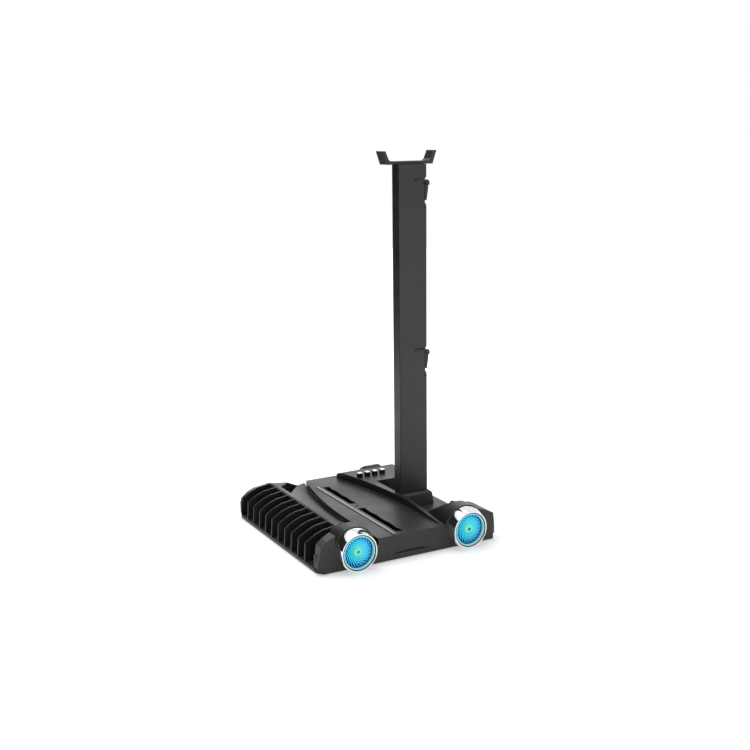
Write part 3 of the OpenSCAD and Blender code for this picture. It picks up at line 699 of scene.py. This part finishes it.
    def prism(
        self, name: str, plan: tuple[Pair, ...], lows: tuple[float, ...], high: float
    ) -> bpy.types.Object:
        """Make an upright prism from a plan.

        Args:
            name: The prism's name.
            plan: X and Y of its corners in millimetres, anticlockwise.
            lows: Its underside at each corner, in millimetres.
            high: Its top in millimetres.

        Returns:
            The prism.
        """
        count = len(plan)
        spots = [(x * MM, y * MM, z * MM) for (x, y), z in zip(plan, lows)]
        spots += [(x * MM, y * MM, high * MM) for x, y in plan]
        faces = [tuple(range(count))[::-1], tuple(range(count, 2 * count))]
        faces += [(i, (i + 1) % count, count + (i + 1) % count, count + i) for i in range(count)]
        mesh = bpy.data.meshes.new(name)
        mesh.from_pydata(spots, [], faces)
        return link_mesh(name, mesh)

    def tools(self) -> tuple[tuple[str, bpy.types.Object], ...]:
        """Make the slabs and prisms that fill and carve the cover.

        Returns:
            Each tool with the operation it is for, in their order.
        """
        left, right = self.back_wall_x
        wall_low, wall_high = self.back_wall_z
        near, far = self.back_y - self.pocket_wall - self.back_wall_lap, self.back_y - self.back_wall_inset
        wall = ((left, near), (right, near), (right, far), (left, far))
        rear_left, front_left = self.pocket_left
        right_x, left_x = self.pocket_back_x
        pocket_y = self.back_y - self.pocket_wall
        plan = (front_left, (right_x, pocket_y), (left_x, pocket_y), rear_left)
        floors = (self.pocket_floor,) * len(plan)
        return (
            ("UNION", self.slab("deck_fill", self.grid(self.lap, 0.0), -self.skin, self.crown)),
            ("UNION", self.prism("pocket_back", wall, (wall_low,) * len(wall), wall_high)),
            ("DIFFERENCE", self.slab("deck_cut", self.grid(0.0, self.past_back), 0.0, None)),
            ("DIFFERENCE", self.prism("pocket_cut", plan, floors, self.clear_z)),
            ("DIFFERENCE", self.prism("lip_taper", self.lip_plan, self.lip_lows, self.clear_z)),
        )

    def carve(self, frame: dict, material: bpy.types.Material) -> bpy.types.Object:
        """Shape a copy of the top cover with the tools.

        Args:
            frame: The loaded model.
            material: The cover's finish.

        Returns:
            The finished cover, which stands for the plain one.
        """
        shape = bmesh.new()
        shape.from_mesh(frame["nodes"]["top_cover"].data)
        bmesh.ops.remove_doubles(shape, verts=shape.verts, dist=WELD)
        mesh = bpy.data.meshes.new("cover_top")
        shape.to_mesh(mesh)
        shape.free()
        cover = place_mesh("cover_top", mesh, material)
        tools = self.tools()
        for operation, tool in tools:
            modifier = cover.modifiers.new(tool.name, "BOOLEAN")
            modifier.operation = operation
            modifier.solver = "EXACT"
            modifier.object = tool
        graph = bpy.context.evaluated_depsgraph_get()
        carved = bpy.data.meshes.new_from_object(cover.evaluated_get(graph), depsgraph=graph)
        cover.modifiers.clear()
        cover.data = carved
        carved.materials.clear()
        carved.materials.append(material)
        for _, tool in tools:
            bpy.data.objects.remove(tool)
        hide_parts("top_cover")
        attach(cover, STAND)
        LOG.info("%s: %d faces", cover.name, len(carved.polygons))
        return cover


@dataclass
class Covers:
    """The two moulded covers with the port housing, the inlet, the pads and the screws."""

    pads: tuple[str, ...] = ("pad_front_left", "pad_front_right", "pad_rear_left", "pad_rear_right")

    def dress(self, frame: dict) -> None:
        """Give the covers and the small pieces on them their finishes.

        Args:
            frame: The loaded model.
        """
        cover = COVER_ABS.build()
        for name in ("top_cover", "bottom_cover", "port_housing"):
            paint(frame, name, cover)
        TopCoverShape().carve(frame, cover)
        rubber = PAD_RUBBER.build()
        for name in self.pads:
            paint(frame, name, rubber)
        paint(frame, "guide_strip", STRIP_ABS.build())
        steel = STEEL.build()
        for name in ("power_socket", "case_screws", "post_screws"):
            paint(frame, name, steel)
        mask = BOARD_MASK.build()
        for name in ("main_board", "button_board"):
            paint(frame, name, mask)
        LOG.info("covers dressed")


@dataclass
class GameRack:
    """The ribbed insert that holds the games."""

    def dress(self, frame: dict) -> None:
        """Give the insert its finish.

        Args:
            frame: The loaded model.
        """
        paint(frame, "game_rack", RACK_ABS.build())
        LOG.info("rack dressed")


@dataclass
class Post:
    """The post with its collar, the headset hanger and the two hooks."""

    def dress(self, frame: dict) -> None:
        """Give the post and what it carries their finishes.

        Args:
            frame: The loaded model.
        """
        plastic = POST_ABS.build()
        for name in ("post", "post_collar", "headset_hanger", "upper_hook", "lower_hook"):
            paint(frame, name, plastic)
        LOG.info("post dressed")


@dataclass
class Buttons:
    """The row of buttons with plated caps."""

    count: int = 4

    def dress(self, frame: dict) -> None:
        """Give the buttons their finishes.

        Args:
            frame: The loaded model.
        """
        body = BUTTON_ABS.build()
        plate = CHROME.build()
        for i in range(1, self.count + 1):
            paint(frame, f"button_{i}", body)
            paint(frame, f"button_cap_{i}", plate)
        LOG.info("buttons dressed")


class GeometryTree:
    """A Geometry Nodes tree with named inputs, which ends in Realize Instances and Set Material."""

    def __init__(self, name: str, inputs: dict[str, tuple[str, object]]) -> None:
        """Open the tree.

        Args:
            name: The tree's name.
            inputs: Input name to its socket kind and value.
        """
        self.tree = bpy.data.node_groups.new(name, "GeometryNodeTree")
        self.values: dict[str, object] = {}
        self.tree.interface.new_socket("Geometry", in_out="OUTPUT", socket_type="NodeSocketGeometry")
        for label, (kind, value) in inputs.items():
            socket = self.tree.interface.new_socket(label, in_out="INPUT", socket_type=kind)
            self.values[socket.identifier] = value
        self.given = add_node(self.tree, "NodeGroupInput").outputs

    def bake(
        self, name: str, instances: bpy.types.NodeSocket, material: bpy.types.Material
    ) -> bpy.types.Object:
        """Close the tree, run it once and keep its result as a plain mesh.

        Args:
            name: The finished piece's name.
            instances: The geometry that the tree has made.
            material: The piece's finish.

        Returns:
            The finished piece, at the origin.
        """
        plain = add_node(self.tree, "GeometryNodeRealizeInstances", {"Geometry": instances}).outputs[0]
        dressed = add_node(
            self.tree, "GeometryNodeSetMaterial", {"Geometry": plain, "Material": material}
        ).outputs[0]
        add_node(self.tree, "NodeGroupOutput", {"Geometry": dressed})
        carrier = bpy.data.objects.new(f"{name}_carrier", bpy.data.meshes.new(f"{name}_carrier"))
        bpy.context.scene.collection.objects.link(carrier)
        modifier = carrier.modifiers.new("shape", "NODES")
        modifier.node_group = self.tree
        for identifier, value in self.values.items():
            modifier[identifier] = value
        graph = bpy.context.evaluated_depsgraph_get()
        mesh = bpy.data.meshes.new_from_object(carrier.evaluated_get(graph), depsgraph=graph)
        mesh.name = name
        carrier.modifiers.clear()
        bpy.data.objects.remove(carrier)
        return place_mesh(name, mesh, material)


@dataclass
class FanWheel:
    """A lit fan wheel: swept blades about a hub, with gaps between them near the rim.

    Depths count from the front of the plain wheel, and shares are parts of the pitch of the blades.
    """

    side: Side
    blades: int = 24
    root: float = 3.4 * MM
    tip: float = 15.9 * MM
    rim: float = 16.2 * MM
    wall: float = 0.5 * MM
    lift: float = 0.7 * MM
    sweep: float = math.radians(66)
    sweep_bend: float = 0.75
    root_share: float = 0.93
    tip_share: float = 0.22
    narrowing: float = 3.2
    blade_depth: float = 2.4 * MM
    hub: float = 3.8 * MM
    eye: float = 1.3 * MM
    eye_depth: float = 2.0 * MM
    back: float = 5.4 * MM
    rim_depth: float = 2.4 * MM
    rim_back: float = 5.6 * MM
    rim_lap: float = 0.1 * MM

    def blade_ring(self, centre: Vector, material: bpy.types.Material) -> bpy.types.Object:
        """Bend one bar into a swept blade and repeat it about the axis with Geometry Nodes.

        Args:
            centre: The middle of the blades, on the fan's axis.
            material: The blades' finish.

        Returns:
            The ring of blades.
        """
        net = GeometryTree(
            f"swept_blades_{self.side.tag}",
            {
                "Blades": ("NodeSocketInt", self.blades),
                "Root Radius": ("NodeSocketFloat", self.root),
                "Tip Radius": ("NodeSocketFloat", self.tip),
                "Wall": ("NodeSocketFloat", self.wall),
                "Lift": ("NodeSocketFloat", self.lift),
                "Sweep": ("NodeSocketFloat", self.sweep),
                "Sweep Bend": ("NodeSocketFloat", self.sweep_bend),
                "Root Share": ("NodeSocketFloat", self.root_share),
                "Tip Share": ("NodeSocketFloat", self.tip_share),
                "Narrowing": ("NodeSocketFloat", self.narrowing),
                "Centre": ("NodeSocketVector", tuple(centre)),
            },
        )
        tree = net.tree
        bar = add_node(
            tree,
            "GeometryNodeMeshCube",
            {"Size": (1.0, 1.0, 1.0), "Vertices X": 18, "Vertices Y": 4, "Vertices Z": 2},
        ).outputs["Mesh"]
        spot = add_node(tree, "GeometryNodeInputPosition").outputs[0]
        axes = add_node(tree, "ShaderNodeSeparateXYZ", {0: spot}).outputs
        values = {socket.name: socket for socket in net.given}
        values |= {"length": axes["X"], "width": axes["Y"], "thickness": axes["Z"]}
        values["index"] = add_node(tree, "GeometryNodeInputIndex").outputs[0]
        # Each row gives a value's name, its operation and its terms
        formula = (
            ("along", "ADD", "length", 0.5),
            ("pitch", "DIVIDE", math.tau, "Blades"),
            ("reach", "SUBTRACT", "Tip Radius", "Root Radius"),
            ("radius", "MULTIPLY_ADD", "along", "reach", "Root Radius"),
            ("taper", "SUBTRACT", "Tip Share", "Root Share"),
            ("narrowed", "POWER", "along", "Narrowing"),
            ("share", "MULTIPLY_ADD", "narrowed", "taper", "Root Share"),
            ("bent", "POWER", "along", "Sweep Bend"),
            ("swept", "MULTIPLY", "Sweep", "bent"),
            ("half", "MULTIPLY", "width", "share"),
            ("turn", "MULTIPLY_ADD", "half", "pitch", "swept"),
            ("cosine", "COSINE", "turn"),
            ("sine", "SINE", "turn"),
            ("x", "MULTIPLY", "radius", "cosine"),
            ("z", "MULTIPLY", "radius", "sine"),
            ("tilt", "MULTIPLY", "width", "Lift"),
            ("inward", "MULTIPLY", "Wall", -1.0),
            ("y", "MULTIPLY_ADD", "thickness", "inward", "tilt"),
            ("swing", "MULTIPLY", "index", "pitch"),
        )
        for name, operation, *terms in formula:
            inputs = {i: values.get(term, term) for i, term in enumerate(terms)}
            values[name] = add_node(tree, "ShaderNodeMath", inputs, operation=operation).outputs[0]
        place = add_node(
            tree, "ShaderNodeCombineXYZ", {"X": values["x"], "Y": values["y"], "Z": values["z"]}
        ).outputs[0]
        blade = add_node(tree, "GeometryNodeSetPosition", {"Geometry": bar, "Position": place}).outputs[0]
        spots = add_node(
            tree, "GeometryNodeMeshLine", {"Count": values["Blades"], "Offset": (0.0, 0.0, 0.0)}
        ).outputs["Mesh"]
        swing = add_node(tree, "ShaderNodeCombineXYZ", {"Y": values["swing"]}).outputs[0]
        ring = add_node(
            tree, "GeometryNodeInstanceOnPoints", {"Points": spots, "Instance": blade, "Rotation": swing}
        ).outputs[0]
        moved = add_node(
            tree, "GeometryNodeTransform", {"Geometry": ring, "Translation": values["Centre"]}
        ).outputs[0]
        return net.bake(f"fan_blades_{self.side.tag}", moved, material)

    def finish(self, centre: Vector) -> bpy.types.Material:
        """Make the wheel's finish: tinted polycarbonate, teal at the hub, cyan blades and bluer tips.

        Args:
            centre: The middle of the blades, on the fan's axis.

        Returns:
            The finished material.
        """
        # Painted shade: the dark teal inside the hub's eye and the dark blue towards the back stand for shade
        # in the hole and behind the blades
        return LitPolycarbonate(
            f"polycarbonate_fan_{self.side.tag}",
            "#2FD0F6",
            0.28,
            stops=((1.2, "#0E5A5C"), (2.2, "#7FE6D2"), (6.0, "#4FD6CC"), (9.0, "#3BD0EE"), (16.5, "#25B2F2")),
            deep="#04385F",
            front_mm=-0.35,
            back_mm=1.1,
            glow=0.5,
            centre=tuple(centre),
        ).build()

    def build(self) -> None:
        """Make the blades, the hub and the rim, and let them stand for the plain wheel."""
        tag = self.side.tag
        low, high = (Vector(v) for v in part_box(f"fan_{tag}"))
        front = Vector(((low.x + high.x) / 2, low.y, (low.z + high.z) / 2))
        middle = front + Vector((0.0, self.blade_depth, 0.0))
        material = self.finish(middle)
        hub_profile = [
            (0.0, self.eye_depth),
            (self.eye, self.eye_depth),
            (self.eye, 0.35 * MM),
            (self.eye + 0.4 * MM, 0.1 * MM),
            (0.62 * self.hub, 0.3 * MM),
            (0.9 * self.hub, 0.9 * MM),
            (self.hub, 1.8 * MM),
            (self.hub, self.back),
            (0.0, self.back),
        ]
        rim_profile = [
            (self.tip - self.rim_lap, self.rim_depth + 0.5 * MM),
            (self.rim, self.rim_depth),
            (self.rim, self.rim_back),
            (self.tip + self.rim_lap, self.rim_back),
            (self.tip - self.rim_lap, self.rim_depth + 0.5 * MM),
        ]
        blades = self.blade_ring(middle, material)
        hub = turned(f"fan_hub_{tag}", hub_profile, front, material)
        rim = turned(f"fan_rim_{tag}", rim_profile, front, material)
        for piece in (blades, hub, rim):
            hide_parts(f"fan_{tag}")
            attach(piece, f"fan_wheel_{tag}")
            LOG.info("%s: %d faces", piece.name, len(piece.data.polygons))


@dataclass
class FanNozzle:
    """One chrome nozzle with its light ring, fan and frame. Depths count from its mouth."""

    side: Side
    mouth: float = 20.6 * MM
    mouth_round: float = 0.6 * MM
    bore: float = 19.1 * MM
    bore_round: float = 0.3 * MM
    flare: float = 22.2 * MM
    flare_depth: float = 0.7 * MM
    flare_lift: float = 1.25 * MM
    flare_bend: float = 0.9
    flare_steps: int = 8
    length: float = 12.9 * MM
    neck: float = 17.6 * MM
    neck_wall: float = 1.5 * MM
    neck_length: float = 9.0 * MM
    step: float = 11.5 * MM
    flats: int = 96

    def barrel(self, chrome: bpy.types.Material) -> bpy.types.Object:
        """Turn the nozzle with the slight flare that it has towards the cover.

        Args:
            chrome: The nozzle's finish.

        Returns:
            The nozzle, which stands for the plain one.
        """
        tag = self.side.tag
        low, high = (Vector(v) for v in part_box(f"nozzle_{tag}"))
        front = Vector(((low.x + high.x) / 2, low.y, (low.z + high.z) / 2))
        gain, run = self.flare - self.mouth, self.length - self.flare_depth
        outer = []
        for i in range(self.flare_steps + 1):
            share = i / self.flare_steps
            swell = math.sin(share * math.pi / 2) ** self.flare_bend
            outer.append((self.mouth + gain * swell, self.flare_depth + run * share, self.flare_lift * swell))
        back, inner = self.length + self.neck_length, self.neck - self.neck_wall
        profile = [
            (self.bore, self.bore_round),
            (self.bore + self.bore_round, 0.0),
            (self.mouth - self.mouth_round, 0.0),
            (self.mouth - self.mouth_round / 4, self.mouth_round / 3),
            *outer,
            (self.neck, self.length),
            (self.neck, back),
            (inner, back),
            (inner, self.step),
            (self.bore, self.step),
            (self.bore, self.bore_round),
        ]
        barrel = turned(f"nozzle_barrel_{tag}", profile, front, chrome, self.flats)
        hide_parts(f"nozzle_{tag}")
        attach(barrel, STAND)
        return barrel

    def dress(self, frame: dict) -> None:
        """Give the nozzle, the ring and the fixed inner pieces their finishes.

        Args:
            frame: The loaded model.
        """
        tag = self.side.tag
        low, high = (Vector(v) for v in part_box(f"light_ring_{tag}"))
        # Frosted polycarbonate of the light ring: a pale aqua band that turns dark from 18 mm out to the
        # bore;
        # painted shade darkens it towards the back
        ring = LitPolycarbonate(
            f"polycarbonate_ring_{tag}",
            "#B9E9EC",
            0.3,
            stops=(
                (16.4, "#3FA9C8"),
                (16.9, "#8FE0EA"),
                (17.7, "#B4EBEE"),
                (18.0, "#10181B"),
                (19.2, "#0C0D0E"),
            ),
            deep="#0C0D0E",
            front_mm=3.0,
            back_mm=6.0,
            glow=0.4,
            cloud_mm=0.2,
            centre=tuple((low + high) / 2),
        )
        paint(frame, f"light_ring_{tag}", ring.build())
        self.barrel(CHROME.build())
        paint(frame, f"led_board_{tag}", LAMP_MASK.build())
        paint(frame, f"fan_frame_{tag}", RACK_ABS.build())
        paint(frame, f"fan_shaft_{tag}", STEEL.build())
        FanWheel(self.side).build()
        LOG.info("nozzle %s dressed", tag)


@dataclass
class Studio:
    """Camera, lamps, floor and backdrop of a plain white studio."""

    place: Triple = (-0.5881, -1.1040, 0.4521)
    yaw: float = math.radians(28.687)
    pitch: float = math.radians(12.329)
    roll: float = math.radians(-0.690)
    lens_mm: float = 55.52
    sensor_mm: float = 36.0
    clip: Pair = (0.01, 50.0)
    ambient: float = 0.3
    floor_radius: float = 3.0
    fade_reach: Pair = (0.16, 0.5)
    fade_glow: Pair = (0.36, 1.0)
    card_plan: tuple[Pair, ...] = ((-0.9, -1.3), (-0.9, 0.1), (-0.55, 0.6), (0.0, 0.85))
    card_height: float = 0.85

    def camera(self) -> None:
        """Set up the camera at the photograph's viewing angle."""
        forward = Vector(
            (
                math.sin(self.yaw) * math.cos(self.pitch),
                math.cos(self.yaw) * math.cos(self.pitch),
                -math.sin(self.pitch),
            )
        )
        right = Vector((math.cos(self.yaw), -math.sin(self.yaw), 0.0))
        up = right.cross(forward)
        side = math.cos(self.roll) * right + math.sin(self.roll) * up
        top = -math.sin(self.roll) * right + math.cos(self.roll) * up
        data = bpy.data.cameras.new("camera")
        data.lens = self.lens_mm
        data.sensor_width = self.sensor_mm
        data.clip_start, data.clip_end = self.clip
        camera = bpy.data.objects.new("camera", data)
        turn = Matrix((side, top, -forward)).transposed().to_4x4()
        camera.matrix_world = Matrix.Translation(self.place) @ turn
        bpy.context.scene.collection.objects.link(camera)
        bpy.context.scene.camera = camera

    def lamp(self, name: str, place: Vector, target: Vector, size: Pair, power: float) -> None:
        """Add one soft box, which the camera doesn't see.

        Args:
            name: The lamp's name.
            place: Where it stands.
            target: What it faces.
            size: Its width and height.
            power: Its power in watts.
        """
        data = bpy.data.lights.new(name, "AREA")
        data.shape = "RECTANGLE"
        data.size, data.size_y = size
        data.energy = power
        lamp = bpy.data.objects.new(name, data)
        turn = (target - place).to_track_quat("-Z", "Y").to_matrix().to_4x4()
        lamp.matrix_world = Matrix.Translation(place) @ turn
        lamp.visible_camera = False
        bpy.context.scene.collection.objects.link(lamp)

    def lamps(self) -> None:
        """Add the soft boxes over, behind and in front of the stand."""
        middle, low_back = Vector((0.0, 0.0, 0.1)), Vector((0.0, 0.1, 0.03))
        # Each row gives a name, a place, what it faces, its size and its power in watts
        rows = (
            ("lamp_top", Vector((-0.2, 0.3, 1.9)), middle, (1.6, 1.6), 24.0),
            ("lamp_back", Vector((0.15, 0.95, 0.42)), low_back, (1.3, 0.6), 1.2),
            ("lamp_front", Vector((0.5, -2.1, 1.3)), middle, (1.4, 1.4), 3.0),
        )
        for row in rows:
            self.lamp(*row)

    def shown(self, tree: bpy.types.NodeTree) -> bpy.types.NodeSocket:
        """Tell what the camera, metal and glass see apart from what gives light.

        Args:
            tree: The tree of the world or of the floor.

        Returns:
            A socket that is 1 for camera, glossy and transmitted rays.
        """
        path = add_node(tree, "ShaderNodeLightPath").outputs
        seen = add_node(
            tree,
            "ShaderNodeMath",
            {0: path["Is Camera Ray"], 1: path["Is Transmission Ray"]},
            operation="MAXIMUM",
        )
        both = add_node(
            tree, "ShaderNodeMath", {0: seen.outputs[0], 1: path["Is Glossy Ray"]}, operation="MAXIMUM"
        )
        return both.outputs[0]

    def world(self) -> None:
        """Make a world that is white to the camera and in reflections, and soft as light."""
        world = bpy.data.worlds.new("studio")
        bpy.context.scene.world = world
        world.use_nodes = True
        tree = world.node_tree
        tree.nodes.clear()
        strength = add_node(
            tree, "ShaderNodeMapRange", {"Value": self.shown(tree), "To Min": self.ambient, "To Max": 1.0}
        )
        back = add_node(
            tree, "ShaderNodeBackground", {"Color": WHITE, "Strength": strength.outputs["Result"]}
        )
        add_node(tree, "ShaderNodeOutputWorld", {"Surface": back.outputs[0]})

    def floor(self) -> None:
        """Lay the pale floor: it keeps the shadow close to the stand and runs out to white."""
        mesh = bpy.data.meshes.new("floor")
        shape = bmesh.new()
        bmesh.ops.create_circle(shape, cap_ends=True, segments=96, radius=self.floor_radius)
        shape.to_mesh(mesh)
        shape.free()
        floor = link_mesh("floor", mesh)
        material, tree, shader = FLOOR_PAINT.start()
        place = add_node(tree, "ShaderNodeTexCoord").outputs["Object"]
        far = add_node(tree, "ShaderNodeVectorMath", {0: place}, operation="LENGTH")
        fade = add_node(
            tree,
            "ShaderNodeMapRange",
            {
                "Value": far.outputs["Value"],
                "From Min": self.fade_reach[0],
                "From Max": self.fade_reach[1],
                "To Min": self.fade_glow[0],
                "To Max": self.fade_glow[1],
            },
        )
        glow = add_node(
            tree, "ShaderNodeMath", {0: self.shown(tree), 1: fade.outputs["Result"]}, operation="MULTIPLY"
        )
        light = add_node(tree, "ShaderNodeEmission", {"Color": WHITE, "Strength": glow.outputs[0]})
        both = add_node(tree, "ShaderNodeAddShader", {0: shader.outputs[0], 1: light.outputs[0]})
        output = next(n for n in tree.nodes if n.type == "OUTPUT_MATERIAL")
        tree.links.new(both.outputs[0], output.inputs["Surface"])
        mesh.materials.append(material)

    def flag(self) -> None:
        """Stand dark cards beside and behind the stand.

        They darken the sides of glossy pieces and aren't seen themselves.
        """
        mesh = bpy.data.meshes.new("flag")
        spots = [(x, y, z) for x, y in self.card_plan for z in (0.0, self.card_height)]
        faces = [(2 * i, 2 * i + 2, 2 * i + 3, 2 * i + 1) for i in range(len(self.card_plan) - 1)]
        mesh.from_pydata(spots, [], faces)
        flag = link_mesh("flag", mesh)
        mesh.materials.append(CARD_VELVET.build())
        flag.visible_camera = False
        flag.visible_shadow = False
        flag.visible_diffuse = False

    def build(self) -> None:
        """Set up the whole studio."""
        self.camera()
        self.lamps()
        self.world()
        self.floor()
        self.flag()
        bpy.context.scene.view_settings.view_transform = "Standard"
        LOG.info("studio ready")


def main() -> None:
    """Dress the stand and build the studio."""
    logging.basicConfig(level=logging.INFO, format="%(name)s: %(message)s")
    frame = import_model()
    Studio().build()
    for part in (Covers(), GameRack(), Post(), Buttons(), FanNozzle(Side.LEFT), FanNozzle(Side.RIGHT)):
        part.dress(frame)


if __name__ == "__main__":
    main()
